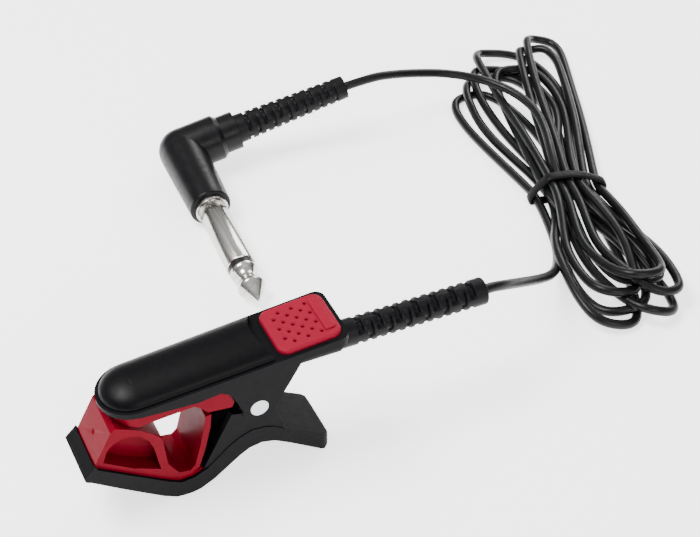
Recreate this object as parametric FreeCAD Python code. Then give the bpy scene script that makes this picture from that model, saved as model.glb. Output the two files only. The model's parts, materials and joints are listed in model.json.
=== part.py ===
import FreeCAD, Part
import math
import os

from FreeCAD import Vector

# Spring clip with a contact microphone, its cable and its 6.35 mm phone plug.
# Millimetres.  +X points from the jaw tip to the cable, +Y is the side away from
# the plain pin head, +Z is up.  The clip stands on z = 0 on the bend of its lower
# arm and on the end of its lever; the cable, tied in a hank, lies on z = 0 too.

os.makedirs("parts", exist_ok=True)

# ---- driving dimensions: upper arm ------------------------------------------
REAR_X = 25.26          # rear edge of the upper housing
NOSE_X = -20.3          # front edge of the upper housing
HALF_REAR = 6.94        # half width at the rear edge
NOSE_R = 6.5            # plan radius of the nose
RIM_Z = 27.9            # height of the rim plane at the rear edge
RIM_TILT = 4.5          # the rim plane falls toward the nose, degrees
RIM_BAND = 1.2          # height of the band under the rim
WALL_STEP = 0.22        # the wall below the band is set in by this
REAR_CORNER_R = 2.0
FLOOR_T = 0.8
SEAT_INSET = 0.6        # rim width around the cover
COVER_GAP = 0.06        # gap around the cover in its seat
COVER_H = 2.7           # crown of the cover above the rim
COVER_T = 0.9
COVER_REAR_X = 10.85    # rear corners of the cover
THUMB_R = 11.2          # plan radius of the scoop behind the cover
EAR_IN = 5.75           # inner face of the housing's ears
EAR_R = 3.2             # radius of an ear round the pin

# ---- driving dimensions: hinge and spring ------------------------------------
HINGE_X = 7.45
HINGE_Z = 16.85
PIN_R = 1.0
PIN_HEAD_R = 1.72
PIN_HEAD_T = 0.6
PIN_RUN_FIT = 0.05
SPRING_WIRE = 0.9
SPRING_R = 2.1          # mean radius of the coil
SPRING_HALF = 3.85      # half length of the coil with its legs

# ---- driving dimensions: lower arm -------------------------------------------
TIP_X = -25.35          # front corner of the lower arm
ARM_HALF = 5.68
TRAY_WALL = 0.6
LEVER_END_X = 21.4
FIN_IN = 4.45           # inner face of the lower arm's fins
FIN_OUT = 5.55
FIN_R = 2.9
INSERT_HALF = 5.05

# ---- driving dimensions: thumb pad -------------------------------------------
PAD_X0 = 12.05
PAD_X1 = 24.4
PAD_HALF = 5.95
PAD_RISE = 0.9
PAD_DEPTH = 0.8
PAD_R = 2.1
DIMPLE_R = 0.46
DIMPLE_PITCH_X = 1.31
DIMPLE_PITCH_Y = 2.64

# ---- driving dimensions: body boot and cable ---------------------------------
BOOT_Z = 22.0
BOOT_R = 2.65
BOOT_END_X = 55.6
BOOT_ROOT_R = 2.2
BOOT_ROOT_X = 18.5
BOOT_SLOT0 = 29.4
BOOT_SLOT_PITCH = 3.82
BOOT_SLOT_W = 1.25
BARREL_R = 2.9
BARREL_X0 = 12.0
CABLE_D = 2.0

# ---- driving dimensions: plug ------------------------------------------------
PLUG_MOUTH = Vector(25.0, 65.4, 4.65)   # centre of the housing's jack-side face
PLUG_HEADING = -92.6                    # way the plug points, about +Z
PLUG_DROP = 3.35                        # it points down by this
PLUG_ROLL = 11.2                        # the cable side is rolled up by this
PLUG_R = 3.175                          # standard 6.35 mm phone plug
SLEEVE_L = 19.8
PLUG_L = 30.5
INSULATOR_L = 1.2
INSULATOR_R = 2.87
LEG_JACK = 20.6                         # mouth to elbow
LEG_CABLE = 13.2                        # elbow to boot
PLUG_BODY_R = 5.15
PLUG_MOUTH_R = 4.55
PLUG_BOOT_L = 26.6
PLUG_BOOT_R0 = 3.3
PLUG_BOOT_R1 = 2.6

# ---- driving dimensions: hank ------------------------------------------------
HANK_H = 7.4
TIE_X = 98.8
TIE_Y = 41.5
TIE_TURN = -15.0
TIE_W = 12.9
TIE_T = 0.7
TIE_BAND = 3.4


# ---- helpers -----------------------------------------------------------------
def save(name, shape):
    """Write one node, and print its volume."""
    shape.exportStep("parts/%s.step" % name)
    solids = shape.Solids
    print("%-20s solids %2d volume %9.2f valid %s" % (
        name, len(solids), shape.Volume, shape.isValid()))


def v(x, y, z):
    return Vector(x, y, z)


def side_face(points):
    """A face in the XZ plane from (x, z) points."""
    corners = [v(x, 0, z) for x, z in points]
    return Part.Face(Part.makePolygon(corners + corners[:1]))


def side_slab(points, y0, y1):
    face = side_face(points)
    face.translate(v(0, y0, 0))
    return face.extrude(v(0, y1 - y0, 0))


def box(x0, x1, y0, y1, z0, z1):
    return Part.makeBox(x1 - x0, y1 - y0, z1 - z0, v(x0, y0, z0))


def rod_y(x, z, radius, y0, y1):
    return Part.makeCylinder(radius, y1 - y0, v(x, y0, z), v(0, 1, 0))


def rod_x(z, radius, x0, x1, y=0.0):
    return Part.makeCylinder(radius, x1 - x0, v(x0, y, z), v(1, 0, 0))


def round_edges(shape, radius, chosen):
    """Round the chosen edges, or leave them as they are if that fails."""
    edges = [e for e in shape.Edges if chosen(e)]
    try:
        rounded = shape.makeFillet(radius, edges)
        if rounded.isValid() and rounded.Volume > 0:
            return rounded
    except Exception:
        pass
    print("   edges left sharp: %d at radius %.2f" % (len(edges), radius))
    return shape


def along(edge, axis):
    """True for a straight edge that runs along the axis."""
    if edge.Curve.TypeId != "Part::GeomLine":
        return False
    return abs(edge.Curve.Direction.dot(axis)) > 0.999


def rounded_rect(x0, x1, half, radius, z):
    """A closed wire round a rectangle with round corners."""
    plate = Part.makePlane(x1 - x0, 2 * half, v(x0, -half, z))
    block = plate.extrude(v(0, 0, 1))
    uprights = [e for e in block.Edges if along(e, v(0, 0, 1))]
    block = block.makeFillet(radius, uprights)
    low = min(block.Faces, key=lambda f: f.CenterOfMass.z)
    return low.OuterWire


# ---- frame of the rim: x and y in the rim plane, z up from it ------------------
def from_rim(shape):
    """Carry a shape from the rim's own frame to the clip's frame."""
    placed = shape.copy()
    placed.translate(v(0, 0, RIM_Z))
    placed.rotate(v(REAR_X, 0, RIM_Z), v(0, 1, 0), -RIM_TILT)
    return placed


def rim_outline(inset):
    """The housing's plan outline, set in by a distance, in the rim's frame."""
    centre = NOSE_X + NOSE_R
    nose = NOSE_R - inset
    half = HALF_REAR - inset
    rear = REAR_X - inset
    corner = max(REAR_CORNER_R - inset, 0.4)
    slant = corner * (1 - math.sqrt(0.5))
    near_mid = v(rear - slant, -half + slant, 0)
    far_mid = v(rear - slant, half - slant, 0)
    a = v(centre, -nose, 0)
    b = v(rear - corner, -half, 0)
    c = v(rear, -half + corner, 0)
    d = v(rear, half - corner, 0)
    e = v(rear - corner, half, 0)
    f = v(centre, nose, 0)
    edges = [
        Part.LineSegment(a, b).toShape(),
        Part.Arc(b, near_mid, c).toShape(),
        Part.LineSegment(c, d).toShape(),
        Part.Arc(d, far_mid, e).toShape(),
        Part.LineSegment(e, f).toShape(),
        Part.Arc(f, v(centre - nose, 0, 0), a).toShape(),
    ]
    return Part.Wire(edges)


def rim_prism(inset, z0, z1):
    face = Part.Face(rim_outline(inset))
    face.translate(v(0, 0, z0))
    return from_rim(face.extrude(v(0, 0, z1 - z0)))


def ellipse_wire(x, half, height):
    """An upright ellipse across the clip at x, in the rim's frame."""
    curve = Part.Ellipse(v(x, half, 0), v(x, 0, height), v(x, 0, 0))
    return Part.Wire(curve.toShape())


def dome(inset, drop):
    """The cover's outer form: a crowned bar with a round nose, in the rim's frame."""
    centre = NOSE_X + NOSE_R
    half_front = NOSE_R - SEAT_INSET - COVER_GAP - inset
    half_back = half_front + (HALF_REAR - NOSE_R) * 0.66
    height = COVER_H - drop
    back_x = COVER_REAR_X + 3.0
    bar = Part.makeLoft(
        [ellipse_wire(centre, half_front, height), ellipse_wire(back_x, half_back, height)],
        True, True)
    curve = Part.Ellipse(v(centre + half_front, 0, 0), v(centre, 0, height), v(centre, 0, 0))
    arc = Part.Arc(curve, 0.0, math.pi / 2).toShape()
    sides = Part.makePolygon([v(centre, 0, height), v(centre, 0, 0), v(centre + half_front, 0, 0)])
    quarter = Part.Face(Part.Wire([arc] + sides.Edges))
    nose = quarter.revolve(v(centre, 0, 0), v(0, 0, 1), 360)
    upper = bar.fuse(nose)
    above = box(NOSE_X - 5, back_x + 5, -20, 20, 0, 20)
    return upper.common(above)


# ---- outline lines shared by several pieces, as (x, z) ----------------------------
UNDERSIDE = [(NOSE_X - 1, 23.45), (-16.3, 23.35), (-3.75, 22.7)]
EAR_FRONT = [(0.4, 23.3), (2.0, 22.4), (3.2, 20.05), (4.0, 17.95)]
EAR_REAR = [(10.45, 15.8), (12.15, 19.0), (13.15, 20.6), (15.75, 25.0), (16.6, 25.5)]


def ear_arc():
    """Points round the ear's end, about the pin, from front to rear."""
    start = math.radians(170)
    stop = math.radians(340)
    steps = 12
    turns = [start + (stop - start) * i / steps for i in range(steps + 1)]
    return [(HINGE_X + EAR_R * math.cos(a), HINGE_Z + EAR_R * math.sin(a)) for a in turns]


def make_upper_housing():
    top = 31.0
    side = UNDERSIDE + EAR_FRONT + ear_arc() + EAR_REAR
    side = side + [(REAR_X + 1, 25.75), (REAR_X + 1, top), (NOSE_X - 1, top)]
    block = rim_prism(WALL_STEP, -16.0, 0.0).common(side_slab(side, -8, 8))
    block = block.fuse(rim_prism(0.0, -RIM_BAND, 0.0).common(side_slab(side, -8, 8)))

    # Space between the ears, open below.
    ceiling = [(-1.0, 22.56), (REAR_X - 9.2, 24.3), (REAR_X - 9.2, 10.0), (-1.0, 10.0)]
    block = block.cut(side_slab(ceiling, -EAR_IN, EAR_IN))

    # The seat of the cover, and the space under it.
    scoop = Part.makeCylinder(THUMB_R, 30, v(COVER_REAR_X - 1.75 + THUMB_R, 0, -15))
    front = from_rim(box(NOSE_X - 2, COVER_REAR_X, -8, 8, -15, 15).cut(scoop))
    seat = rim_prism(SEAT_INSET, -0.6, 2.0).common(front)
    floor = [(NOSE_X - 1, 24.25), (-16.3, 24.15), (-3.75, 23.5), (8.6, 24.9), (8.6, top)]
    hollow = side_slab(floor + [(NOSE_X - 1, top)], -8, 8)
    hollow = hollow.common(rim_prism(SEAT_INSET + 0.9, -8.0, 3.0))
    block = block.cut(seat).cut(hollow)

    # The barrel that holds the cable boot, under the rear plate.
    barrel = rod_x(BOOT_Z, BARREL_R, BARREL_X0, REAR_X)
    web = box(BARREL_X0, REAR_X, -BARREL_R, BARREL_R, BOOT_Z, 26.2)
    block = block.fuse(barrel.fuse(web))
    block = block.cut(rod_x(BOOT_Z, BOOT_ROOT_R + 0.03, BOOT_ROOT_X, REAR_X + 1))
    block = block.cut(rod_x(BOOT_Z, CABLE_D / 2 + 0.25, BARREL_X0 - 1, BOOT_ROOT_X + 1))
    block = block.cut(bent_tube(INNER_ROUTE, CABLE_D / 2 + 0.2))

    # Pocket of the thumb pad, screw holes, and the pin's holes with their recesses.
    block = block.cut(pad_pocket())
    for x, y in SCREW_SPOTS:
        block = block.cut(Part.makeCylinder(0.9, 8, v(x, y, 20)))
        block = block.cut(Part.makeCylinder(1.55, 0.35, v(x, y, screw_head_z(x) - 0.35)))
    block = block.cut(rod_y(HINGE_X, HINGE_Z, PIN_R + 0.01, -10, 10))
    for y0, y1 in ((-10, -ear_face() + PIN_HEAD_T), (ear_face() - PIN_HEAD_T, 10)):
        block = block.cut(rod_y(HINGE_X, HINGE_Z, PIN_HEAD_R + 0.03, y0, y1))
    return block.removeSplitter()


def ear_face():
    """Distance of an ear's outer face from the middle, at the pin."""
    share = (HINGE_X - NOSE_X - NOSE_R) / (REAR_X - NOSE_X - NOSE_R)
    return NOSE_R + (HALF_REAR - NOSE_R) * share - WALL_STEP


# The cable inside the housing: from the boot, up through the floor, to its clamp.
INNER_ROUTE = [v(REAR_X - 0.5, 0, BOOT_Z), v(14.2, 0, BOOT_Z), v(10.3, 0, 25.4), v(6.4, 0, 25.75)]


# ---- screws that hold the cover ------------------------------------------------------
SCREW_SPOTS = [(5.1, -3.0), (5.1, 3.0)]
SCREW_R = 0.7


def screw_head_z(x):
    """Height of the ceiling between the ears at x."""
    return 22.56 + (x + 1.0) * (24.3 - 22.56) / (REAR_X - 9.2 + 1.0)


def make_cover_screws():
    screws = []
    for x, y in SCREW_SPOTS:
        z = screw_head_z(x)
        head = Part.makeCylinder(1.45, 0.7, v(x, y, z - 0.75))
        slot = box(x - 1.0, x + 1.0, y - 0.18, y + 0.18, z - 1.0, z - 0.45)
        cross = box(x - 0.18, x + 0.18, y - 1.0, y + 1.0, z - 1.0, z - 0.45)
        shank = Part.makeCylinder(SCREW_R, 3.2, v(x, y, z - 0.2))
        screws.append(head.fuse(shank).cut(slot).cut(cross).removeSplitter())
    return Part.makeCompound(screws)


def make_top_cover():
    scoop = Part.makeCylinder(THUMB_R, 30, v(COVER_REAR_X - 1.75 + THUMB_R, 0, -15))
    keep = box(NOSE_X - 2, COVER_REAR_X - COVER_GAP, -8, 8, -15, 15).cut(scoop)
    skin = dome(0.0, 0.0)
    inner = dome(COVER_T, COVER_T).fuse(dome(COVER_T, COVER_T).mirror(v(0, 0, 0), v(0, 0, 1)))
    shell = from_rim(skin.cut(inner).common(keep))
    inset = SEAT_INSET + COVER_GAP
    skirt = rim_prism(inset, -0.55, 0.0).cut(rim_prism(inset + COVER_T, -2.0, 1.0))
    shell = shell.fuse(skirt.common(from_rim(keep)))
    # Bosses for the two screws, standing on the housing's floor.
    solid = from_rim(dome(0.3, 0.3).common(keep))
    for x, y in SCREW_SPOTS:
        post = Part.makeCylinder(1.5, 8, v(x, y, 24.32))
        post = post.common(solid).cut(Part.makeCylinder(SCREW_R + 0.02, 3.0, v(x, y, 23.6)))
        shell = shell.fuse(post)
    return shell.removeSplitter()


# ---- thumb pad -----------------------------------------------------------------------
def pad_pocket():
    wire = rounded_rect(PAD_X0 - 0.05, PAD_X1 + 0.05, PAD_HALF + 0.05, PAD_R + 0.05, -PAD_DEPTH)
    return from_rim(Part.Face(wire).extrude(v(0, 0, PAD_DEPTH + 2)))


def make_thumb_pad():
    wire = rounded_rect(PAD_X0, PAD_X1, PAD_HALF, PAD_R, -PAD_DEPTH + 0.02)
    pad = Part.Face(wire).extrude(v(0, 0, PAD_RISE + PAD_DEPTH - 0.02))
    pad = round_edges(pad, 0.6, lambda e: e.CenterOfMass.z > PAD_RISE - 0.01)
    bar = rounded_rect(PAD_X1 - 2.95, PAD_X1 - 0.85, 4.35, 0.5, PAD_RISE - 0.2)
    bar = Part.Face(bar).extrude(v(0, 0, 0.55))
    bar = round_edges(bar, 0.3, lambda e: e.CenterOfMass.z > PAD_RISE + 0.34)
    pad = pad.fuse(bar)
    first_x = PAD_X1 - 10.1
    for column in range(6):
        count = 3 if column % 2 == 0 else 4
        x = first_x + column * DIMPLE_PITCH_X
        for row in range(count):
            y = (row - (count - 1) / 2) * DIMPLE_PITCH_Y
            ball = Part.makeSphere(DIMPLE_R * 1.3, v(x, y, PAD_RISE + DIMPLE_R * 0.8))
            drill = Part.makeCylinder(DIMPLE_R * 0.62, 1.0, v(x, y, PAD_RISE - 0.55))
            pad = pad.cut(ball).cut(drill)
    return from_rim(pad)


# ---- red jaw faces -------------------------------------------------------------------
LINER_TOP = [(-3.75, 22.7), (-16.3, 23.35), (NOSE_X - 1, 23.45)]


def make_upper_jaw_liner():
    low = [(NOSE_X - 1, 23.2), (-19.0, 22.4), (-17.4, 21.2), (-14.7, 20.2), (-12.4, 20.6),
           (-4.3, 21.2), (-3.3, 20.4), (-1.9, 18.8), (2.6, 18.3)]
    side = low + [(3.1, 19.4), (2.0, 22.3), (0.4, 22.6)] + LINER_TOP
    slab = side_slab(side, -8, 8)
    liner = rim_prism(NOSE_R - INSERT_HALF - 0.35, -12.0, 0.0).common(slab)
    # Two moulded windows in the rear wall, as deep as the skin of the wall allows.
    for sign in (-1, 1):
        bay = box(-2.4, 1.9, -1.9, 1.9, 15.0, 21.3)
        bay.translate(v(0, sign * 2.35, 0))
        liner = liner.cut(bay.common(side_slab([(-1.2, 15), (1.9, 15), (1.9, 21.3), (-1.2, 21.3)],
                                               -6, 6)))
    return liner.removeSplitter()


def make_lower_jaw_insert():
    block = [(-23.05, 13.75), (-22.95, 14.3), (-19.6, 20.6), (-18.6, 21.3), (-16.3, 20.2),
             (-14.2, 19.0), (-11.6, 16.8), (-10.5, 15.3), (-9.9, 8.6), (-8.0, 5.6),
             (-6.0, 5.2), (-4.9, 6.2), (-3.6, 11.0), (-2.7, 15.0), (-2.3, 17.4),
             (-1.2, 17.6), (-1.5, 14.6), (-2.9, 9.0), (-4.2, 5.35), (-5.9, 4.2), (-7.9, 4.0),
             (-10.6, 5.05), (-17.3, 9.7), (-22.5, 13.3)]
    insert = side_slab(block, -INSERT_HALF, INSERT_HALF)
    insert = insert.fuse(tray_floor_form(0.0).common(side_slab(TRAY_CUT, -6, 6)))
    # Arch-topped pockets on both sides, with a solid wall left in the middle.
    arch = [(-21.5, 14.1), (-20.6, 16.6), (-19.3, 17.9), (-17.6, 18.5), (-16.0, 18.4),
            (-14.4, 17.6), (-13.0, 16.0), (-12.1, 13.4), (-11.3, 8.0), (-16.3, 10.4)]
    for sign in (-1, 1):
        pocket = side_slab(arch, 0, 3.3)
        pocket.translate(v(0, -INSERT_HALF - 0.1 if sign < 0 else INSERT_HALF - 3.2, 0))
        insert = insert.cut(pocket)
    # Shallow dimple in the front slope.
    slope = v(-5.45, 0, 3.35)
    slope.normalize()
    insert = insert.cut(Part.makeSphere(0.75, v(-21.4, 0.0, 17.25) + slope * 0.45))
    return insert.removeSplitter()


# ---- lower arm -----------------------------------------------------------------------
ARM_BOTTOM = [(-24.2, 10.85), (-19.35, 7.2), (-14.05, 3.35), (-11.35, 1.45), (-9.0, 0.2),
              (-7.6, 0.0), (-5.9, 0.0), (-4.3, 0.35), (-1.65, 1.75), (1.45, 4.1),
              (3.45, 5.6), (5.45, 6.75), (7.85, 7.15), (10.35, 6.5), (13.3, 4.65),
              (19.6, 0.25), (20.3, 0.0), (21.1, 0.5)]
ARM_TOP = [(LEVER_END_X, 3.0), (21.0, 3.75), (12.45, 8.6), (10.4, 10.1), (8.55, 10.75),
           (6.05, 11.0), (3.65, 10.1), (1.65, 8.85), (-0.35, 7.1), (-2.85, 4.95),
           (-5.45, 3.75), (-7.95, 3.55), (-10.15, 4.75), (-17.25, 9.6), (-22.75, 13.45),
           (-23.1, 14.3), (TIP_X, 12.1), (-25.1, 11.3)]
TRAY_CUT = [(-23.3, 12.75), (-17.6, 8.55), (-10.5, 3.6), (-8.1, 2.25), (-5.2, 2.4),
            (-2.2, 4.2), (-2.2, 12), (-23.3, 25)]


def tray_floor_form(gap):
    """The lower part of the red insert, which fills the tray of the arm."""
    top = [(-22.75, 13.5), (-17.25, 9.7), (-10.15, 4.8), (-7.95, 4.3), (-5.45, 4.5),
           (-4.2, 4.9), (-3.0, 4.9)]
    low = [(-3.0, 3.75), (-5.3, 2.45), (-8.0, 2.3), (-10.4, 3.65), (-17.5, 8.6), (-23.0, 12.6)]
    return side_slab(top + low, -INSERT_HALF - gap, INSERT_HALF + gap)


def lever_plan():
    """The arm seen from above, with its rounded rear corners."""
    return Part.Face(rounded_rect(TIP_X - 2, LEVER_END_X, ARM_HALF, 1.6, -1)).extrude(v(0, 0, 30))


def make_lower_arm():
    arm = side_slab(ARM_BOTTOM + ARM_TOP, -ARM_HALF, ARM_HALF).common(lever_plan())
    # The tray that the red insert lies in.
    half = ARM_HALF - TRAY_WALL
    tray = side_slab(TRAY_CUT, -half, half)
    arm = arm.cut(tray)
    # Fins that carry the pin.
    fin = [(-3.6, 5.0), (-0.7, 10.5), (2.4, 16.4), (4.3, 15.9)]
    arc = [math.radians(160 - 170 * i / 10) for i in range(11)]
    fin = fin + [(HINGE_X + FIN_R * math.cos(a), HINGE_Z + FIN_R * math.sin(a)) for a in arc]
    fin = fin + [(11.3, 13.0), (12.6, 8.0), (6.0, 8.5)]
    for y0, y1 in ((-FIN_OUT, -FIN_IN), (FIN_IN, FIN_OUT)):
        arm = arm.fuse(side_slab(fin, y0, y1))
    arm = arm.cut(rod_y(HINGE_X, HINGE_Z, PIN_R + PIN_RUN_FIT, -7, 7))
    # Room between the fins for the coil.
    arm = arm.cut(rod_y(HINGE_X, HINGE_Z, SPRING_R + SPRING_WIRE / 2 + 0.25, -FIN_IN, FIN_IN))
    # Ribbed underside of the lever.
    hollow = [(12.6, 6.3), (19.0, 1.9), (20.1, 1.9), (20.1, -1.0), (11.0, -1.0), (9.6, 5.0)]
    for i in range(3):
        y0 = -ARM_HALF + 1.1 + i * 3.2
        arm = arm.cut(side_slab(hollow, y0, y0 + 2.7))
    return arm.removeSplitter()


# ---- hinge pin and spring ------------------------------------------------------------
def make_pivot_pin():
    face = ear_face()
    pin = rod_y(HINGE_X, HINGE_Z, PIN_R, -face, face)
    for y0, y1 in ((-face + 0.04, -face + PIN_HEAD_T), (face - PIN_HEAD_T, face - 0.04)):
        pin = pin.fuse(rod_y(HINGE_X, HINGE_Z, PIN_HEAD_R, y0, y1))
    pin = pin.common(box(0, 20, -face + 0.04, face - 0.04, 10, 25))
    return pin.removeSplitter()


def make_torsion_spring():
    outer = SPRING_R + SPRING_WIRE / 2
    inner = SPRING_R - SPRING_WIRE / 2
    half = SPRING_HALF - SPRING_WIRE / 2
    coil = rod_y(HINGE_X, HINGE_Z, outer, -half, half)
    coil = coil.cut(rod_y(HINGE_X, HINGE_Z, inner, -half - 1, half + 1))
    wire = SPRING_WIRE / 2
    end = half + 0.1
    up = Part.makeCylinder(wire, 6.2, v(HINGE_X + 0.2, -end, HINGE_Z + SPRING_R),
                           v(0.72, 0, 0.62))
    down = Part.makeCylinder(wire, 6.6, v(HINGE_X - 0.4, end, HINGE_Z - SPRING_R),
                             v(0.80, 0, -0.60))
    return coil.fuse(up).fuse(down)


# ---- pickup parts inside the nose ----------------------------------------------------
PIEZO_X = -12.6
PIEZO_Z = 24.35


def make_piezo_plate():
    return Part.makeCylinder(4.4, 0.25, v(PIEZO_X, 0, PIEZO_Z))


def make_piezo_ceramic():
    return Part.makeCylinder(3.3, 0.22, v(PIEZO_X, 0, PIEZO_Z + 0.25))


def make_damping_foam():
    disc = Part.makeCylinder(3.2, 1.1, v(PIEZO_X - 0.3, 0, PIEZO_Z + 0.52))
    return disc.cut(Part.makeCylinder(0.9, 3, v(PIEZO_X - 0.3, 0, PIEZO_Z)))


def bent_tube(points, radius):
    """A round tube along straight runs joined by tangent arcs; prints its bends."""
    edges = []
    here = points[0]
    for i in range(1, len(points) - 1):
        before = points[i] - points[i - 1]
        after = points[i + 1] - points[i]
        turn = before.getAngle(after)
        bend = 0.45 * min(before.Length, after.Length) / math.tan(turn / 2)
        cut = bend * math.tan(turn / 2)
        before.normalize()
        after.normalize()
        start = points[i] - before * cut
        stop = points[i] + after * cut
        inward = after - before
        inward.normalize()
        to_corner = bend / math.cos(turn / 2) - bend
        middle = points[i] + inward * to_corner
        edges.append(Part.LineSegment(here, start).toShape())
        edges.append(Part.Arc(start, middle, stop).toShape())
        here = stop
        print("   bend %d radius %.1f turn %.0f" % (i, bend, math.degrees(turn)))
    edges.append(Part.LineSegment(here, points[-1]).toShape())
    path = Part.Wire(edges)
    heading = points[1] - points[0]
    ring = Part.Wire(Part.makeCircle(radius, points[0], heading))
    tube = path.makePipeShell([ring], True, False)
    print("   length %.1f volume ratio %.4f" % (
        path.Length, tube.Volume / (math.pi * radius ** 2 * path.Length)))
    return tube


def make_lead(y_side, z_end):
    """One thin wire from the cable's end to the piezo disc."""
    start = v(5.6, y_side * 0.6, 25.0)
    mid = v(0.5, y_side * 1.1, 24.9)
    stop = v(-8.6, y_side * 1.1, z_end)
    return bent_tube([start, mid, stop], 0.32)


def make_inner_cable():
    return bent_tube(INNER_ROUTE, CABLE_D / 2)


def make_cable_clamp():
    """A saddle that grips the cable just inside the cover."""
    end = INNER_ROUTE[-1]
    sleeve = Part.makeCylinder(CABLE_D / 2 + 0.4, 1.3, end + v(0.2, 0, 0), v(1, 0, -0.04))
    return sleeve.common(box(0, 20, -5, 5, end.z - CABLE_D / 2 + 0.12, 30))


# ---- cable boot on the clip ----------------------------------------------------------
def make_body_boot():
    neck = rod_x(BOOT_Z, BOOT_ROOT_R, BOOT_ROOT_X + 0.05, REAR_X + 0.5)
    body = rod_x(BOOT_Z, BOOT_R, REAR_X + 0.02, BOOT_END_X)
    body = round_edges(body, 0.35, lambda e: e.CenterOfMass.x > BOOT_END_X - 0.1)
    core = 1.55
    for i in range(13):
        x = BOOT_SLOT0 + i * BOOT_SLOT_PITCH / 2
        ring = rod_x(BOOT_Z, BOOT_R + 1, x - BOOT_SLOT_W / 2, x + BOOT_SLOT_W / 2)
        ring = ring.cut(rod_x(BOOT_Z, core, x - 2, x + 2))
        if i % 2 == 0:
            spine = box(x - 2, x + 2, -4, 4, BOOT_Z - 0.85, BOOT_Z + 0.85)
        else:
            spine = box(x - 2, x + 2, -0.85, 0.85, BOOT_Z - 4, BOOT_Z + 4)
        body = body.cut(ring.cut(spine))
    boot = neck.fuse(body)
    return boot.cut(rod_x(BOOT_Z, CABLE_D / 2 + 0.02, BOOT_ROOT_X - 1, BOOT_END_X + 1))


# ---- plug: built pointing along +X from its mouth, then laid down ----------------------
def lay_plug(shape):
    """Mouth at the origin, plug along +X, cable leg along -Y: turn it to its place."""
    placed = shape.copy()
    placed.rotate(v(0, 0, 0), v(1, 0, 0), PLUG_ROLL)
    placed.rotate(v(0, 0, 0), v(0, 1, 0), PLUG_DROP)
    placed.rotate(v(0, 0, 0), v(0, 0, 1), PLUG_HEADING)
    placed.translate(PLUG_MOUTH)
    return placed


def plug_point(x, y, z):
    point = lay_plug(Part.Vertex(v(x, y, z)))
    return point.Point


def turned(profile):
    """A body of revolution about the plug's axis from (x, r) points."""
    corners = [v(x, 0, r) for x, r in profile]
    face = Part.Face(Part.makePolygon(corners + corners[:1]))
    return face.revolve(v(0, 0, 0), v(1, 0, 0), 360)


TIP_X0 = SLEEVE_L + INSULATOR_L


def make_plug_sleeve():
    sleeve = turned([(-6.0, 1.55), (-6.0, 3.9), (-5.2, 3.9), (-5.2, 2.7), (0.0, 2.7),
                     (0.0, PLUG_R + 0.45), (0.9, PLUG_R + 0.45), (0.9, 3.0), (1.2, 3.0),
                     (1.2, PLUG_R),
                     (SLEEVE_L - 0.2, PLUG_R), (SLEEVE_L, PLUG_R - 0.2), (SLEEVE_L, 1.55)])
    return lay_plug(sleeve)


def make_plug_insulator():
    ring = turned([(SLEEVE_L, 1.0), (SLEEVE_L, INSULATOR_R), (TIP_X0, INSULATOR_R),
                   (TIP_X0, 1.0)])
    return lay_plug(ring)


def make_plug_rod_insulator():
    tube = turned([(-7.4, 1.0), (-7.4, 1.5), (SLEEVE_L, 1.5), (SLEEVE_L, 1.0)])
    return lay_plug(tube)


def make_plug_tip():
    tip = turned([(-9.0, 0.0), (-9.0, 0.95), (TIP_X0, 0.95), (TIP_X0, 2.95),
                  (TIP_X0 + 0.9, 2.95), (TIP_X0 + 1.6, 2.3), (TIP_X0 + 2.9, 2.0),
                  (TIP_X0 + 3.9, 2.35), (TIP_X0 + 4.9, 2.95), (TIP_X0 + 5.6, 2.95),
                  (PLUG_L - 0.45, 0.55), (PLUG_L - 0.1, 0.3), (PLUG_L, 0.0)])
    return lay_plug(tip)


def make_solder_lugs():
    ground = box(-11.5, -6.0, -0.6, 0.6, -3.6, -3.1)
    signal = box(-12.0, -9.0, -0.6, 0.6, -0.25, 0.25)
    return lay_plug(ground), lay_plug(signal)


def make_plug_housing(inner_parts):
    barrel = Part.makeCone(PLUG_BODY_R, PLUG_MOUTH_R, LEG_JACK - 2.0, v(-LEG_JACK + 2.0, 0, 0),
                           v(1, 0, 0))
    barrel = round_edges(barrel, 0.5, lambda e: e.CenterOfMass.x > -0.1)
    elbow = Part.makeSphere(PLUG_BODY_R, v(-LEG_JACK, 0, 0))
    link = Part.makeCylinder(PLUG_BODY_R, 2.2, v(-LEG_JACK, 0, 0), v(1, 0, 0))
    leg = Part.makeCylinder(PLUG_BODY_R, 8.6, v(-LEG_JACK, 0, 0), v(0, 1, 0))
    step = Part.makeCone(PLUG_BODY_R, 4.3, 1.0, v(-LEG_JACK, 8.6, 0), v(0, 1, 0))
    collar = Part.makeCylinder(4.3, LEG_CABLE - 9.6, v(-LEG_JACK, 9.6, 0), v(0, 1, 0))
    body = barrel.fuse([elbow, link, leg, step, collar])
    body = lay_plug(body.removeSplitter())
    for part in inner_parts:
        body = body.cut(part)
    return body


def make_plug_boot():
    start = LEG_CABLE
    y_axis = v(0, 1, 0)
    body = Part.makeCone(PLUG_BOOT_R0, PLUG_BOOT_R1, PLUG_BOOT_L, v(-LEG_JACK, start, 0), y_axis)
    for i in range(12):
        y = start + 2.4 + i * 1.9
        ring = Part.makeCylinder(5, 0.85, v(-LEG_JACK, y, 0), y_axis)
        ring = ring.cut(Part.makeCylinder(1.75, 3, v(-LEG_JACK, y - 1, 0), y_axis))
        if i % 2 == 0:
            spine = box(-LEG_JACK - 4, -LEG_JACK + 4, y - 1, y + 3, -0.8, 0.8)
        else:
            spine = box(-LEG_JACK - 0.8, -LEG_JACK + 0.8, y - 1, y + 3, -4, 4)
        body = body.cut(ring.cut(spine))
    tail = Part.makeCylinder(2.0, 3.2, v(-LEG_JACK, start - 3.2, 0), y_axis)
    return lay_plug(body.fuse(tail))


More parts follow.
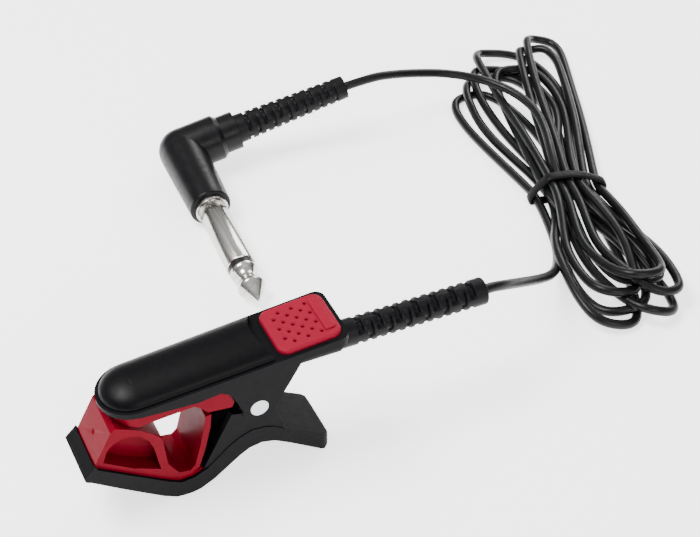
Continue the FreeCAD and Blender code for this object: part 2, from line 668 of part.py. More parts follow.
# ---- cable ---------------------------------------------------------------------------
LEAD_ROUTE = [(57.1, 0.3, 21.9), (60.6, 1.1, 20.6), (66.6, 4.3, 16.6), (73.0, 8.6, 11.6),
              (79.4, 13.4, 6.6), (84.8, 19.4, 2.6), (89.0, 27.0, 1.4)]
TAIL_ROUTE = [(71.6, 83.6, 14.3), (77.4, 84.0, 13.3), (84.4, 84.9, 11.2), (92.0, 84.6, 9.2),
              (99.2, 80.6, 8.0)]
HANK_OUTLINE = [(81.6, 8.0), (84.6, -1.0), (93.0, -4.4), (100.6, -3.4), (104.2, 6.0),
                (105.4, 22.0), (105.0, 39.9), (112.6, 56.0), (119.6, 74.0), (127.6, 92.0),
                (123.6, 98.6), (110.0, 99.8), (97.4, 88.6), (91.0, 83.0), (89.8, 72.0),
                (92.0, 56.0), (92.6, 43.1), (86.6, 27.0)]


def make_hank_and_tie():
    spline = Part.BSplineCurve()
    spline.interpolate([v(x, y, 0) for x, y in HANK_OUTLINE], PeriodicFlag=True)
    face = Part.Face(Part.Wire(spline.toShape()))
    bundle = face.extrude(v(0, 0, HANK_H))
    half = TIE_W / 2
    outer = box(-half - TIE_T, half + TIE_T, -TIE_BAND / 2, TIE_BAND / 2, 0, HANK_H + TIE_T)
    inner = box(-half, half, -TIE_BAND, TIE_BAND, TIE_T, HANK_H)
    tie = round_edges(outer.cut(inner), 1.5, lambda e: along(e, v(0, 1, 0)))
    core = outer.common(inner)
    slot = box(-15, 15, -TIE_BAND / 2, TIE_BAND / 2, -1, 20)
    for shape in (tie, core, slot):
        shape.rotate(v(0, 0, 0), v(0, 0, 1), TIE_TURN)
        shape.translate(v(TIE_X, TIE_Y, 0))
    hank = bundle.cut(slot).fuse(core).cut(tie)
    return hank, tie


# ---- build and write every node --------------------------------------------------------
save("upper_housing", make_upper_housing())
save("top_cover", make_top_cover())
save("thumb_pad", make_thumb_pad())
save("cover_screws", make_cover_screws())
save("upper_jaw_liner", make_upper_jaw_liner())
save("piezo_plate", make_piezo_plate())
save("piezo_ceramic", make_piezo_ceramic())
save("damping_foam", make_damping_foam())
save("signal_lead", make_lead(1, PIEZO_Z + 0.8))
save("ground_lead", make_lead(-1, PIEZO_Z + 0.57))
inner_cable = make_inner_cable()
save("inner_cable", inner_cable)
save("cable_clamp", make_cable_clamp().cut(inner_cable))
save("body_boot", make_body_boot())

save("lower_arm", make_lower_arm())
save("lower_jaw_insert", make_lower_jaw_insert())
save("pivot_pin", make_pivot_pin())
save("torsion_spring", make_torsion_spring())

sleeve = make_plug_sleeve()
rod_insulator = make_plug_rod_insulator()
tip = make_plug_tip()
ground_lug, signal_lug = make_solder_lugs()
plug_boot = make_plug_boot()
save("plug_sleeve", sleeve)
save("plug_insulator", make_plug_insulator())
save("plug_rod_insulator", rod_insulator)
save("plug_tip", tip)
save("ground_lug", ground_lug)
save("signal_lug", signal_lug)
save("plug_boot", plug_boot)
save("plug_housing", make_plug_housing([sleeve, rod_insulator, tip, ground_lug, signal_lug,
                                        plug_boot]))

hank, tie = make_hank_and_tie()
lead = bent_tube([v(*p) for p in LEAD_ROUTE], CABLE_D / 2).cut(hank)
tail_start = plug_point(-LEG_JACK, LEG_CABLE + PLUG_BOOT_L, 0)
print("   boot end", tail_start)
tail = bent_tube([tail_start] + [v(*p) for p in TAIL_ROUTE], CABLE_D / 2).cut(hank).cut(plug_boot)
save("cable_hank", hank)
save("hank_tie", tie)
save("cable_lead", lead)
save("cable_tail", tail)
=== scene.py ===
"""Looks of the spring clip with its contact microphone, cable and phone plug.

Everything is in metres in the row frame; lengths written in millimetres are scaled by MM.
"""

import json
import math

import bmesh
import bpy
import numpy as np
from mathutils import Matrix, Vector


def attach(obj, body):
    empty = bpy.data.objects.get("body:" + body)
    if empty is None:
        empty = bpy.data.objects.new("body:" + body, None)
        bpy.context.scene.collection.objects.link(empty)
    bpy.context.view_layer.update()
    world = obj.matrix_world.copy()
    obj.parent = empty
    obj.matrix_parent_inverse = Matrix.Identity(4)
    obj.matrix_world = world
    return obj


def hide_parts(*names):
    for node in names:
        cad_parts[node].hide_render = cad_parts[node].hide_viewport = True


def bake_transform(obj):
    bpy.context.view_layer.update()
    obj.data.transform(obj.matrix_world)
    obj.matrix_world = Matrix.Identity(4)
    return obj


MM = 0.001

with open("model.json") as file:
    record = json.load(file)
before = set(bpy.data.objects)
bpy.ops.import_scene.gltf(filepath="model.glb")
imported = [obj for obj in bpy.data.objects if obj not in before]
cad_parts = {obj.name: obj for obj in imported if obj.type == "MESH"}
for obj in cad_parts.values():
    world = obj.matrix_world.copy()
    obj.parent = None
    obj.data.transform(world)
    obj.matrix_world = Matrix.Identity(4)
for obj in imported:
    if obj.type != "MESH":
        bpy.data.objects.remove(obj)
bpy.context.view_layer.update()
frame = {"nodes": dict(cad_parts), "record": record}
nodes = frame["nodes"]
scene = bpy.context.scene


def mm(x, y, z):
    return Vector((x, y, z)) * MM


# ---- camera, floor and light ---------------------------------------------------------
VIEW_TARGET = mm(46.19, 39.57, 0.0)
VIEW_DISTANCE = 0.350
VIEW_AZIMUTH = math.radians(-24.6)
VIEW_ELEVATION = math.radians(40.49)
SENSOR_WIDTH = 36.0
FOCAL_LENGTH = 85.19
LIGHT_AIM = (0.045, 0.045, 0.0)
# Each light's name, place, size and power.
LIGHTS = [("key", (-0.20, 0.12, 0.50), (0.30, 0.22), 5.0),
          ("fill", (0.10, -0.50, 0.32), (0.40, 0.20), 1.6),
          ("rim", (0.38, 0.36, 0.30), (0.25, 0.25), 1.6)]
SKY_HEIGHTS = (0.05, 0.75)        # the sky brightens between these, as the height of its direction
SKY_STRENGTHS = (0.03, 0.80)
FLOOR_HALF = 1.5
FLOOR_GLOW = 1.9


def make_camera():
    data = bpy.data.cameras.new("camera")
    data.sensor_width = SENSOR_WIDTH
    data.lens = FOCAL_LENGTH
    data.clip_start = 0.01
    camera = bpy.data.objects.new("camera", data)
    scene.collection.objects.link(camera)
    back = Vector((math.sin(VIEW_AZIMUTH) * math.cos(VIEW_ELEVATION),
                   -math.cos(VIEW_AZIMUTH) * math.cos(VIEW_ELEVATION),
                   math.sin(VIEW_ELEVATION)))
    camera.location = VIEW_TARGET + back * VIEW_DISTANCE
    camera.rotation_euler = back.to_track_quat("Z", "Y").to_euler()
    scene.camera = camera


def area_light(name, place, size, power):
    data = bpy.data.lights.new(name, "AREA")
    data.shape = "RECTANGLE"
    data.size, data.size_y = size
    data.energy = power
    light = bpy.data.objects.new(name, data)
    light.location = place
    back = Vector(place) - Vector(LIGHT_AIM)
    light.rotation_euler = back.to_track_quat("Z", "Y").to_euler()
    scene.collection.objects.link(light)


def make_sky():
    """A white sky that is dim at the horizon and bright overhead."""
    world = bpy.data.worlds.new("studio")
    world.use_nodes = True
    tree = world.node_tree
    background = tree.nodes["Background"]
    background.inputs["Color"].default_value = (1.0, 1.0, 1.0, 1.0)
    place = tree.nodes.new("ShaderNodeTexCoord")
    height = tree.nodes.new("ShaderNodeSeparateXYZ")
    sky = tree.nodes.new("ShaderNodeMapRange")
    sky.inputs["From Min"].default_value = SKY_HEIGHTS[0]
    sky.inputs["From Max"].default_value = SKY_HEIGHTS[1]
    sky.inputs["To Min"].default_value = SKY_STRENGTHS[0]
    sky.inputs["To Max"].default_value = SKY_STRENGTHS[1]
    tree.links.new(place.outputs["Generated"], height.inputs["Vector"])
    tree.links.new(height.outputs["Z"], sky.inputs["Value"])
    tree.links.new(sky.outputs["Result"], background.inputs["Strength"])
    scene.world = world


def make_floor():
    mesh = bpy.data.meshes.new("floor")
    corners = [(x * FLOOR_HALF, y * FLOOR_HALF, 0) for x, y in ((-1, -1), (1, -1), (1, 1), (-1, 1))]
    mesh.from_pydata(corners, [], [(0, 1, 2, 3)])
    floor = bpy.data.objects.new("floor", mesh)
    scene.collection.objects.link(floor)
    material = bpy.data.materials.new("floor")
    material.use_nodes = True
    shader = material.node_tree.nodes["Principled BSDF"]
    shader.inputs["Base Color"].default_value = (0.95, 0.95, 0.95, 1.0)
    shader.inputs["Roughness"].default_value = 0.9
    shader.inputs["Emission Color"].default_value = (1.0, 1.0, 1.0, 1.0)
    shader.inputs["Emission Strength"].default_value = FLOOR_GLOW
    mesh.materials.append(material)


def make_studio():
    make_sky()
    for name, place, size, power in LIGHTS:
        area_light(name, place, size, power)
    make_floor()


# ---- materials -------------------------------------------------------------------------
SCATTER_RADIUS = (1.0, 0.12, 0.10)
SCATTER_DEPTH = 1.2


def surface(name, low, high, rough, grain=0.3, bump=0.02, metallic=0.0, specular=0.5,
            scatter=0.0, stretch=(1, 1, 1), tint=3.0):
    """A procedural finish: two colours mixed by soft noise, uneven gloss and a fine grain.

    rough is (least, most); grain and tint are the sizes in mm of the fine relief and of the
    colour's clouds; bump is the depth of the relief in mm; stretch scales the noise.
    """
    material = bpy.data.materials.new(name)
    material.use_nodes = True
    tree = material.node_tree
    link = tree.links.new
    shader = tree.nodes["Principled BSDF"]
    place = tree.nodes.new("ShaderNodeTexCoord")
    mapping = tree.nodes.new("ShaderNodeMapping")
    mapping.inputs["Scale"].default_value = stretch
    link(place.outputs["Object"], mapping.inputs["Vector"])

    def noise(size, detail):
        node = tree.nodes.new("ShaderNodeTexNoise")
        node.inputs["Scale"].default_value = 1.0 / (size * MM)
        node.inputs["Detail"].default_value = detail
        link(mapping.outputs["Vector"], node.inputs["Vector"])
        return node.outputs["Fac"]

    clouds = noise(tint, 3.0)
    mix = tree.nodes.new("ShaderNodeMix")
    mix.data_type = "RGBA"
    mix.inputs["A"].default_value = (*low, 1.0)
    mix.inputs["B"].default_value = (*high, 1.0)
    link(clouds, mix.inputs["Factor"])
    link(mix.outputs["Result"], shader.inputs["Base Color"])

    gloss = tree.nodes.new("ShaderNodeMapRange")
    gloss.inputs["From Min"].default_value = 0.3
    gloss.inputs["From Max"].default_value = 0.7
    gloss.inputs["To Min"].default_value = rough[0]
    gloss.inputs["To Max"].default_value = rough[1]
    link(noise(tint * 0.4, 4.0), gloss.inputs["Value"])
    link(gloss.outputs["Result"], shader.inputs["Roughness"])

    relief = tree.nodes.new("ShaderNodeBump")
    relief.inputs["Strength"].default_value = 1.0
    relief.inputs["Distance"].default_value = bump * MM
    link(noise(grain, 2.0), relief.inputs["Height"])
    link(relief.outputs["Normal"], shader.inputs["Normal"])

    shader.inputs["Metallic"].default_value = metallic
    shader.inputs["Specular IOR Level"].default_value = specular
    if scatter:
        shader.inputs["Subsurface Weight"].default_value = scatter
        shader.inputs["Subsurface Radius"].default_value = SCATTER_RADIUS
        shader.inputs["Subsurface Scale"].default_value = SCATTER_DEPTH * MM
    return material


LOOKS = {
    "black_abs": surface("black_abs", (0.0022, 0.0022, 0.0028), (0.0034, 0.0034, 0.0042),
                         (0.42, 0.54), grain=0.22, bump=0.006, specular=0.06),
    "satin_cover": surface("satin_cover", (0.0013, 0.0013, 0.0018), (0.0020, 0.0020, 0.0026),
                           (0.36, 0.44), grain=0.16, bump=0.003, specular=0.09),
    "red_pad": surface("red_pad", (0.22, 0.0040, 0.0200), (0.26, 0.0050, 0.0240),
                       (0.46, 0.58), grain=0.20, bump=0.008, specular=0.08),
    "red_elastomer": surface("red_elastomer", (0.125, 0.0002, 0.0070), (0.165, 0.0004, 0.0095),
                             (0.30, 0.42), grain=0.8, bump=0.004, specular=0.04, scatter=0.06),
    "screw_steel": surface("screw_steel", (0.45, 0.45, 0.46), (0.58, 0.58, 0.60),
                           (0.28, 0.40), metallic=1.0),
    "brass": surface("brass", (0.66, 0.48, 0.20), (0.76, 0.58, 0.28), (0.25, 0.4),
                     metallic=1.0),
    "ceramic": surface("ceramic", (0.74, 0.72, 0.66), (0.82, 0.80, 0.74), (0.35, 0.5)),
    "foam": surface("foam", (0.03, 0.03, 0.03), (0.06, 0.06, 0.06), (0.8, 0.95),
                    grain=0.25, bump=0.08),
    "lead_red": surface("lead_red", (0.45, 0.01, 0.01), (0.52, 0.02, 0.02), (0.3, 0.4)),
    "lead_black": surface("lead_black", (0.015, 0.015, 0.015), (0.02, 0.02, 0.02),
                          (0.3, 0.4)),
    "cable_pvc": surface("cable_pvc", (0.0024, 0.0024, 0.0027), (0.0040, 0.0040, 0.0044),
                         (0.30, 0.42), grain=0.5, bump=0.005, specular=0.20),
    "boot_rubber": surface("boot_rubber", (0.0024, 0.0024, 0.0030), (0.0040, 0.0040, 0.0050),
                           (0.38, 0.50), grain=0.25, bump=0.008, specular=0.13),
    "pin_steel": surface("pin_steel", (0.50, 0.51, 0.53), (0.60, 0.61, 0.63),
                         (0.30, 0.40), grain=0.3, bump=0.004, metallic=1.0),
    "spring_steel": surface("spring_steel", (0.50, 0.50, 0.52), (0.62, 0.62, 0.64),
                            (0.22, 0.34), metallic=1.0),
    "tie_plastic": surface("tie_plastic", (0.003, 0.003, 0.0034), (0.005, 0.005, 0.0056),
                           (0.42, 0.54), grain=0.3, bump=0.010, specular=0.12),
    "plug_pvc": surface("plug_pvc", (0.0020, 0.0020, 0.0026), (0.0036, 0.0036, 0.0044),
                        (0.28, 0.42), grain=0.35, bump=0.008, specular=0.16),
    # nickel: its colour is painted with reflections, streaks from dark to bright that run along the
    # plug's axis on the sleeve and tip
    "nickel": surface("nickel", (0.30, 0.29, 0.27), (0.86, 0.84, 0.80), (0.14, 0.26),
                      grain=0.2, bump=0.002, metallic=1.0, stretch=(1.0, 0.02, 1.0), tint=0.5),
    "insulator": surface("insulator", (0.004, 0.004, 0.004), (0.007, 0.007, 0.007),
                         (0.35, 0.45), specular=0.25),
}


# CAD nodes whose edges are softened, and by how much in millimetres.
SOFTENED = {"lower_arm": 0.45, "lower_jaw_insert": 0.35, "body_boot": 0.16, "plug_boot": 0.16,
            "pivot_pin": 0.10}
WELD_REACH = 0.002
SOFTENED_STEPS = 3
SOFTENED_ANGLE = math.radians(26)     # only edges that turn more than this are softened


def dress_cad_nodes():
    """Each CAD node that stays gets its finish, and some get softened edges."""
    slots = {s["node"]: s["material_slot"] for s in frame["record"]["subparts"]}
    for name, node in nodes.items():
        node.data.materials.clear()
        node.data.materials.append(LOOKS[slots[name]])
        if name not in SOFTENED:
            continue
        weld = node.modifiers.new("weld", "WELD")
        weld.merge_threshold = WELD_REACH * MM
        bevel = node.modifiers.new("bevel", "BEVEL")
        bevel.width = SOFTENED[name] * MM
        bevel.segments = SOFTENED_STEPS
        bevel.limit_method = "ANGLE"
        bevel.angle_limit = SOFTENED_ANGLE
        node.modifiers.new("normals", "WEIGHTED_NORMAL")


def link_mesh(name, mesh, look):
    piece = bpy.data.objects.new(name, mesh)
    scene.collection.objects.link(piece)
    mesh.materials.append(LOOKS[look])
    return piece


def mesh_from_rings(name, rings, joined=False):
    """A smooth mesh through rings of points.

    The last ring is joined to the first, or else a face closes each end.
    """
    bm = bmesh.new()
    rows = [[bm.verts.new(point) for point in ring] for ring in rings]
    follow = rows[1:] + rows[:1] if joined else rows[1:]
    for a, b in zip(rows, follow):
        for j in range(len(a)):
            k = (j + 1) % len(a)
            bm.faces.new((a[j], b[j], b[k], a[k]))
    if not joined:
        bm.faces.new(rows[0])
        bm.faces.new(list(reversed(rows[-1])))
    bmesh.ops.recalc_face_normals(bm, faces=bm.faces)
    mesh = bpy.data.meshes.new(name)
    bm.to_mesh(mesh)
    bm.free()
    mesh.polygons.foreach_set("use_smooth", [True] * len(mesh.polygons))
    return mesh


# ---- the cable ---------------------------------------------------------------------------
CABLE_D = 2.0
CABLE_SIDES = 14
WAIST = np.array([98.8, 41.5])                 # middle of the tied waist
TIE_TURN = math.radians(-15)
ACROSS = np.array([math.cos(TIE_TURN), math.sin(TIE_TURN)])
ROW_Z = {1: 1.75, 2: 3.55, 3: 5.35}            # heights of the rows of strands in the tie
LEAD_ROUTE = [(54.8, 0, 22.0), (57.1, 0.3, 21.9), (60.6, 1.1, 20.6), (66.6, 4.3, 16.6),
              (73.0, 8.6, 11.6), (79.4, 13.4, 6.6), (84.8, 19.4, 2.6), (89.0, 27.0, 1.4)]
TAIL_ROUTE = [(100.3, 50.0, 7.0), (103.3, 57.5, 7.0), (105.2, 65.5, 7.2), (103.8, 73.4, 7.6),
              (99.2, 80.6, 8.0), (92.0, 84.6, 9.2), (84.4, 84.9, 11.2), (77.4, 84.0, 13.3),
              (71.6, 83.6, 14.3), (64.3, 83.75, 13.45)]
# One row a turn: the place in the tie on the way out and on the way back, as (offset, row);
# then the far loop and the near loop, as (end x, end y, bulge before the end, its place
# along the loop, bulge after the end, its place).
TURNS = [
    ((-5.2, 1), (5.0, 1), (98.2, 85.6, 6.6, .72, 7.0, .60), (87.4, -2.0, 6.6, .62, 9.4, .56)),
    ((-3.1, 1), (3.0, 1), (106.6, 90.4, 9.2, .64, 9.4, .66), (89.0, 1.4, 7.0, .60, 9.0, .60)),
    ((-1.05, 1), (1.0, 1), (107.6, 91.8, 6.8, .76, 10.2, .64), (98.0, -3.6, 5.4, .72, 6.6, .66)),
    ((-4.15, 2), (2.05, 2), (111.0, 88.6, 5.4, .80, 8.2, .68), (91.0, 3.6, 6.8, .64, 7.4, .60)),
    ((-2.05, 2), (4.0, 2), (111.2, 98.4, 5.6, .86, 11.8, .62), (94.6, 4.6, 6.0, .66, 5.8, .62)),
    ((0.0, 2), (3.1, 3), (121.8, 94.0, 3.6, .91, 4.0, .86), (98.6, 0.0, 4.0, .70, 6.2, .70)),
    ((1.05, 3), (4.2, 3), (124.2, 98.0, 3.4, .92, 3.3, .90), (96.4, 3.0, 4.6, .72, 6.8, .64)),
]
TAIL_PLACE = (-1.05, 3)
END_TURNS = (32, 66)                           # degrees of the control points round a loop's end
END_FULLNESS = 0.8                             # under 1 makes an end squarer than an ellipse

STRAND_GAP = CABLE_D + 0.06                    # strands are kept this far apart
SAME_STRAND = 9.0                              # places nearer than this along the cable are left
NEAR_PLAN = 7.0                                # only places that start this near can touch
CROSSING = (0.97, 0.12)                        # strands cross below this likeness of heading
LIFT_SHARES = (0.55, 0.45)                     # of a move, to the later and the earlier strand
SINK = 0.03                                    # strands sink this much in each round
SINK_PART = 0.8                                # for this part of the rounds


def ease(t):
    return t * t * (3 - 2 * t)


def loop_points(start, stop, shape, side):
    """Control points of one end loop of the hank, from one place in the tie to the next."""
    end_x, end_y, bulge_a, at_a, bulge_b, at_b = shape
    axis = np.array([end_x, end_y]) - WAIST
    reach = np.hypot(*axis)
    axis = axis / reach
    outward = np.array([abs(axis[1]), -axis[0] * np.sign(axis[1])])
    points = []

    def add(share, bulge, row, offset, grown):
        spot = WAIST + axis * reach * share + outward * bulge * grown
        spot = spot + ACROSS * offset * (1 - grown)
        points.append((spot[0], spot[1], ROW_Z[row]))

    for step in (0, .25, .5, .75, 1.0):
        add(at_a * step, side * bulge_a, start[1], start[0], ease(step))
    for turn in END_TURNS:
        s = math.sin(math.radians(turn)) ** END_FULLNESS
        c = math.cos(math.radians(turn)) ** END_FULLNESS
        add(at_a + (1 - at_a) * s, side * bulge_a * c, start[1], 0, 1)
    for turn in reversed(END_TURNS):
        s = math.sin(math.radians(turn)) ** END_FULLNESS
        c = math.cos(math.radians(turn)) ** END_FULLNESS
        add(at_b + (1 - at_b) * s, -side * bulge_b * c, stop[1], 0, 1)
    for step in (1.0, .75, .5, .25):
        add(at_b * step, -side * bulge_b, stop[1], stop[0], ease(step))
    return points


def cable_points():
    """The cable's control points, and where its hank begins and ends among them."""
    points = list(LEAD_ROUTE)
    first = len(points)
    for i, (out, back, far, near) in enumerate(TURNS):
        after = TURNS[i + 1][0] if i + 1 < len(TURNS) else TAIL_PLACE
        points += loop_points(out, back, far, -1)
        points += loop_points(back, after, near, 1)
    spot = WAIST + ACROSS * TAIL_PLACE[0]
    points.append((spot[0], spot[1], ROW_Z[TAIL_PLACE[1]]))
    last = len(points)
    points += TAIL_ROUTE
    return np.array(points, float), first, last


def spline_weights(count, steps=6):
    """Rows that give points along the second-degree spline from its control points."""
    rows = []
    for i in range(count - 2):
        for j in range(steps):
            t = j / steps
            row = np.zeros(count)
            before, after = (1 - t) ** 2, t * t
            row[i] += before if i == 0 else before / 2
            row[i + 1] += 2 * t * (1 - t) + (0 if i == 0 else before / 2)
            row[i + 1] += 0 if i == count - 3 else after / 2
            row[i + 2] += after if i == count - 3 else after / 2
            rows.append(row)
    rows.append(np.eye(count)[-1])
    return np.array(rows)


def settle_hank(points, first, last, rounds=420):
    """Lets the strands of the hank lie on and beside each other, later turns on top."""
    start = points.copy()
    points = points.copy()
    weights = spline_weights(len(points))
    spread = weights.T / (weights.sum(0)[:, None] + 1e-9)
    free = np.zeros(len(points))
    free[first:last] = 1
    line = weights @ points
    along = np.concatenate([[0], np.cumsum(np.linalg.norm(np.diff(line, axis=0), axis=1))])
    low, high = np.triu_indices(len(line), 1)
    apart = np.hypot(*(line[low] - line[high])[:, :2].T)
    keep = (along[high] - along[low] > SAME_STRAND) & (apart < NEAR_PLAN)
    low, high = low[keep], high[keep]
    for turn in range(rounds):
        line = weights @ points
        heading = np.gradient(line, axis=0)
        heading[:, 2] = 0
        heading /= np.linalg.norm(heading, axis=1)[:, None] + 1e-9
        offset = line[high] - line[low]
        distance = np.linalg.norm(offset, axis=1)
        hit = distance < STRAND_GAP
        a, b, offset, distance = low[hit], high[hit], offset[hit], distance[hit]
        parallel = np.abs((heading[a] * heading[b]).sum(1))
        flat = np.hypot(offset[:, 0], offset[:, 1])
        lift = np.zeros_like(offset)
        clear = np.sqrt(np.maximum(STRAND_GAP ** 2 - flat ** 2, 0))
        lift[:, 2] = np.maximum(clear - offset[:, 2], 0)
        push = offset / np.maximum(distance, 1e-6)[:, None] * (STRAND_GAP - distance)[:, None]
        crossing = np.clip((CROSSING[0] - parallel) / CROSSING[1], 0, 1)[:, None]
        move = crossing * lift + (1 - crossing) * push
        shift = np.zeros_like(line)
        count = np.zeros(len(line))
        np.add.at(shift, b, LIFT_SHARES[0] * move)
        np.add.at(shift, a, -LIFT_SHARES[1] * move)
        np.add.at(count, a, 1)
        np.add.at(count, b, 1)
        step = (spread @ (shift / np.maximum(count, 1)[:, None])) * 3.0
        if turn < rounds * SINK_PART:
            step[:, 2] -= SINK
        step[:, 2] += (spread @ np.maximum(CABLE_D / 2 - line[:, 2], 0)) * 2.0
        points += step * free[:, None]
        points[:, 2] = np.where(free > 0, np.maximum(points[:, 2], CABLE_D / 2), points[:, 2])
        moved = points - start
        even = moved.copy()
        even[1:-1] = 0.5 * moved[1:-1] + 0.25 * (moved[:-2] + moved[2:])
        points = np.where(free[:, None] > 0, start + moved * 0.9 + even * 0.1, points)
    return points


def spline_line(points):
    """Points read from the NURBS spline whose control points these are."""
    data = bpy.data.curves.new("line", "CURVE")
    data.dimensions = "3D"
    spline = data.splines.new("NURBS")
    spline.points.add(len(points) - 1)
    for target, point in zip(spline.points, points):
        target.co = (*point, 1.0)
    spline.order_u = 3
    spline.use_endpoint_u = True
    spline.resolution_u = 8
    holder = bpy.data.objects.new("line", data)
    scene.collection.objects.link(holder)
    bpy.context.view_layer.update()
    mesh = bpy.data.meshes.new_from_object(holder)
    line = [v.co.copy() for v in mesh.vertices]
    bpy.data.objects.remove(holder)
    bpy.data.curves.remove(data)
    bpy.data.meshes.remove(mesh)
    return line


def sweep(line, section):
    """A mesh whose rings follow a line; section gives each ring's outline as 2-D offsets."""
    side = None
    rings = []
    for i, point in enumerate(line):
        ahead = (line[min(i + 1, len(line) - 1)] - line[max(i - 1, 0)]).normalized()
        if side is None:
            side = ahead.cross(Vector((0, 0, 1))).normalized()
        side = (side - ahead * side.dot(ahead)).normalized()
        up = side.cross(ahead)
        rings.append([point + side * x + up * y for x, y in section])
    return mesh_from_rings("sweep", rings)


def circle(radius, sides):
    turns = [2 * math.pi * i / sides for i in range(sides)]
    return [(radius * math.cos(t), radius * math.sin(t)) for t in turns]


def make_cable():
    points, first, last = cable_points()
    points = settle_hank(points, first, last)
    line = spline_line([mm(*p) for p in points])
    mesh = sweep(line, circle(CABLE_D / 2 * MM, CABLE_SIDES))
    cable = link_mesh("cable", mesh, "cable_pvc")
    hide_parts("cable_lead", "cable_hank", "cable_tail")
    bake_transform(cable)
    length = sum((b - a).length for a, b in zip(line, line[1:]))
    print("cable length %.4f m" % length)
    return cable, line


# ---- the band round the hank -------------------------------------------------------------
BAND_SIDES = 72
BAND_HALF = 1.25
BAND_THICK = 0.38
BAND_SECTION_SIDES = 16
BAND_ROUNDING = 0.5
BAND_CLEAR = 0.42              # from the strands, and from the floor, to the band's middle
BAND_LOWEST = 0.02
BAND_REACH = 9                 # strands this near the waist's middle are inside the band


def strands_at_waist(line, middle, across, forward):
    """Where the cable's line crosses the band's plane, as (offset across, height) in mm."""
    crossed = []
    for a, b in zip(line, line[1:]):
        da, db = (a - middle).dot(forward), (b - middle).dot(forward)
        if da * db <= 0 and da != db and abs((a - middle).dot(across)) < BAND_REACH * MM:
            spot = a.lerp(b, da / (da - db))
            crossed.append(((spot - middle).dot(across) / MM, spot.z / MM))
    return crossed


def drawn_round(crossed):
    """The outline of a band pulled tight round the strands, as (offset across, height)."""
    turns = [2 * math.pi * i / BAND_SIDES for i in range(BAND_SIDES)]
    outs = [max(x * math.cos(t) + z * math.sin(t) for x, z in crossed) + CABLE_D / 2 + BAND_CLEAR
            for t in turns]
    outline = []
    for i in range(BAND_SIDES):
        k = (i + 1) % BAND_SIDES
        c, s = math.cos(turns[i]), math.sin(turns[i])
        c2, s2 = math.cos(turns[k]), math.sin(turns[k])
        det = c * s2 - s * c2
        x, z = (outs[i] * s2 - outs[k] * s) / det, (outs[k] * c - outs[i] * c2) / det
        outline.append((x, max(z, BAND_CLEAR)))
    return outline


def band_section():
    """The band's own cross-section, flat with round edges, as (out, along the strands)."""
    section = []
    for k in range(BAND_SECTION_SIDES):
        t = 2 * math.pi * k / BAND_SECTION_SIDES
        wide = math.copysign(abs(math.sin(t)) ** BAND_ROUNDING, math.sin(t))
        section.append((BAND_THICK * math.cos(t), BAND_HALF * wide))
    return section


def make_tie(line):
    """A flat band drawn round the strands at the waist."""
    middle = Vector((*WAIST, 0)) * MM
    across = Vector((*ACROSS, 0))
    forward = Vector((-across.y, across.x, 0))
    band = drawn_round(strands_at_waist(line, middle, across, forward))
    section = band_section()
    rings = []
    for i, (x, z) in enumerate(band):
        (xa, za), (xb, zb) = band[i - 1], band[(i + 1) % BAND_SIDES]
        size = math.hypot(xb - xa, zb - za) or 1.0
        nx, nz = (zb - za) / size, -(xb - xa) / size
        ring = []
        for r, w in section:
            lift = max(z + nz * r, BAND_LOWEST)
            ring.append(middle + across * (x + nx * r) * MM
                        + Vector((0, 0, lift * MM)) + forward * w * MM)
        rings.append(ring)
    mesh = mesh_from_rings("hank_band", rings, joined=True)
    piece = link_mesh("hank_band", mesh, "tie_plastic")
    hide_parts("hank_tie")
    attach(piece, "lower_arm")
    return piece


# ---- the plug's metal --------------------------------------------------------------------
# The plug's own frame: its axis is X, from the centre of the housing's mouth.
PLUG_MOUTH = (25.0, 65.4, 4.65)
PLUG_HEADING = math.radians(-92.6)
PLUG_DROP = math.radians(3.35)
PLUG_ROLL = math.radians(11.2)
PLUG_FRAME = (Matrix.Translation(mm(*PLUG_MOUTH)) @ Matrix.Rotation(PLUG_HEADING, 4, "Z")
              @ Matrix.Rotation(PLUG_DROP, 4, "Y") @ Matrix.Rotation(PLUG_ROLL, 4, "X"))
PLUG_R = 3.175
SLEEVE_END = 19.8
TIP_START = 21.0
PLUG_END = 30.5
TURNED_SIDES = 96
TURNED_SHARP = math.radians(32)


def turned(name, profile, slot, node):
    """A body of revolution about the plug's axis from (x, r) points in millimetres."""
    turns = [2 * math.pi * k / TURNED_SIDES for k in range(TURNED_SIDES)]
    rings = [[PLUG_FRAME @ mm(x, r * math.cos(a), r * math.sin(a)) for a in turns]
             for x, r in profile]
    mesh = mesh_from_rings(name, rings, joined=True)
    mesh.set_sharp_from_angle(angle=TURNED_SHARP)
    piece = link_mesh(name, mesh, slot)
    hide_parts(node)
    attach(piece, "lower_arm")
    return piece


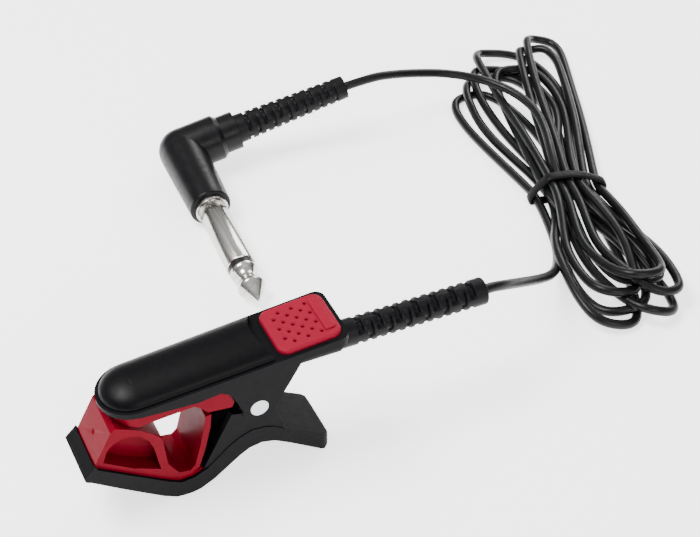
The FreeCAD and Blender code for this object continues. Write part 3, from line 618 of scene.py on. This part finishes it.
def make_plug_metal():
    """The sleeve and the tip, turned finer than the CAD mesh."""
    sleeve = turned("sleeve", [
        (-6.0, 1.56), (-6.0, 3.85), (-5.2, 3.85), (-5.2, 2.7), (0.0, 2.7), (0.0, PLUG_R + 0.36),
        (0.12, PLUG_R + 0.45), (0.78, PLUG_R + 0.45), (0.9, PLUG_R + 0.36), (0.9, 3.0),
        (1.2, 3.0), (1.2, PLUG_R - 0.06), (1.3, PLUG_R), (SLEEVE_END - 0.28, PLUG_R),
        (SLEEVE_END - 0.12, PLUG_R - 0.04), (SLEEVE_END, PLUG_R - 0.18), (SLEEVE_END, 1.56)],
        "nickel", "plug_sleeve")
    t = TIP_START
    tip = turned("tip", [
        (-9.0, 0.02), (-9.0, 0.93), (t, 0.93), (t, 2.78), (t + 0.12, 2.93), (t + 0.78, 2.93),
        (t + 1.0, 2.80), (t + 1.25, 2.45), (t + 1.6, 2.25), (t + 2.1, 2.04), (t + 2.7, 1.98),
        (t + 3.3, 2.08), (t + 3.9, 2.34), (t + 4.5, 2.70), (t + 4.9, 2.88), (t + 5.25, 2.94),
        (t + 5.5, 2.92), (t + 5.7, 2.80), (PLUG_END - 0.60, 0.66), (PLUG_END - 0.35, 0.46),
        (PLUG_END - 0.10, 0.26), (PLUG_END - 0.01, 0.02)], "nickel", "plug_tip")
    return [sleeve, tip]


# ---- the spring --------------------------------------------------------------------------
HINGE = (7.45, 16.85)
COIL_R = 2.1
COIL_WIRE = 0.9
COIL_SIDES = 12
COIL_HALF = 3.4
COIL_TURNS = 7.5
COIL_STEPS = 16
# Each leg: where it starts past the pin, its slope, and places along it in millimetres.
UPPER_LEG = (0.2, (0.72, 0.58), (5.9, 4.4, 2.9, 1.5))
LOWER_LEG = (-0.4, (0.80, -0.60), (1.5, 2.9, 4.4, 6.2))


def make_spring():
    """The wound wire spring round the pin, with a leg under the housing and one on the lever."""
    x0, z0 = HINGE
    steps = int(COIL_TURNS * COIL_STEPS)
    points = []
    start, (run, rise), places = UPPER_LEG
    for d in places:
        points.append((x0 + start + run * d, -COIL_HALF, z0 + COIL_R + rise * d))
    for i in range(steps + 1):
        a = math.pi / 2 + 2 * math.pi * COIL_TURNS * i / steps
        y = -COIL_HALF + 2 * COIL_HALF * i / steps
        points.append((x0 + COIL_R * math.cos(a), y, z0 + COIL_R * math.sin(a)))
    start, (run, rise), places = LOWER_LEG
    for d in places:
        points.append((x0 + start + run * d, COIL_HALF, z0 - COIL_R + rise * d))
    line = spline_line([mm(*p) for p in points])
    mesh = sweep(line, circle(COIL_WIRE / 2 * MM, COIL_SIDES))
    coil = link_mesh("spring_coil", mesh, "spring_steel")
    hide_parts("torsion_spring")
    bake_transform(coil)


make_camera()
make_studio()
dress_cad_nodes()
cable, cable_line = make_cable()
tie = make_tie(cable_line)
metal = make_plug_metal()
make_spring()
